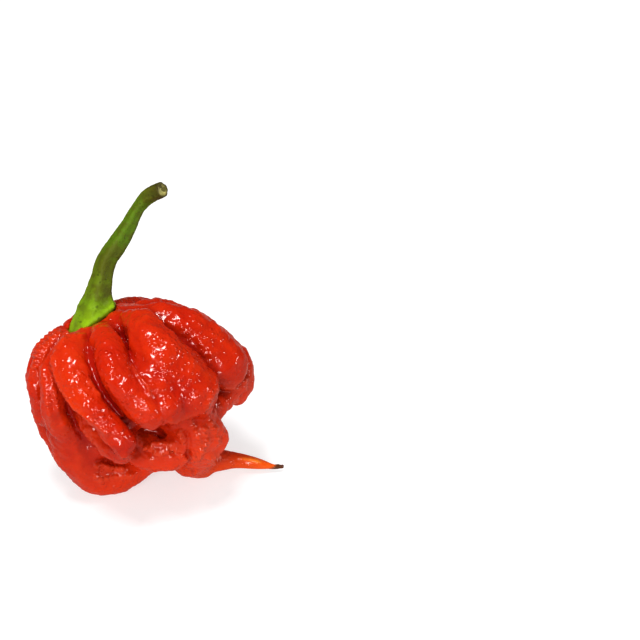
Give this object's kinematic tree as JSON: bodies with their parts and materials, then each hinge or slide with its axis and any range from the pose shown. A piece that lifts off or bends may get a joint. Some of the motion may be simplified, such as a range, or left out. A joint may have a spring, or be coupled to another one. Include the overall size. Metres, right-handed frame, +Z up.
{
  "type": "carolina reaper pepper",
  "caption": "Carolina reaper chilli pepper: a deeply lobed, wrinkled red pod with a crumpled apex and a pointed tail, lying on its lobes with its green calyx and stem raised.",
  "frame": {"origin": "centre of the bounding box, at the level of the surface that the pod lies on", "axes": "+Z up from that surface, +X towards the tip of the tail, +Y away from the side where the tucked lobes show"},
  "size_m": [0.0444, 0.0376, 0.0521],
  "materials": {
    "pod": "glossy, waxy, pimpled red skin",
    "stem": "satin green plant stem, pale where it is cut"
  },
  "bodies": {
    "root": {"pod": "pod", "stem": "stem"}
  },
  "joints": []
}
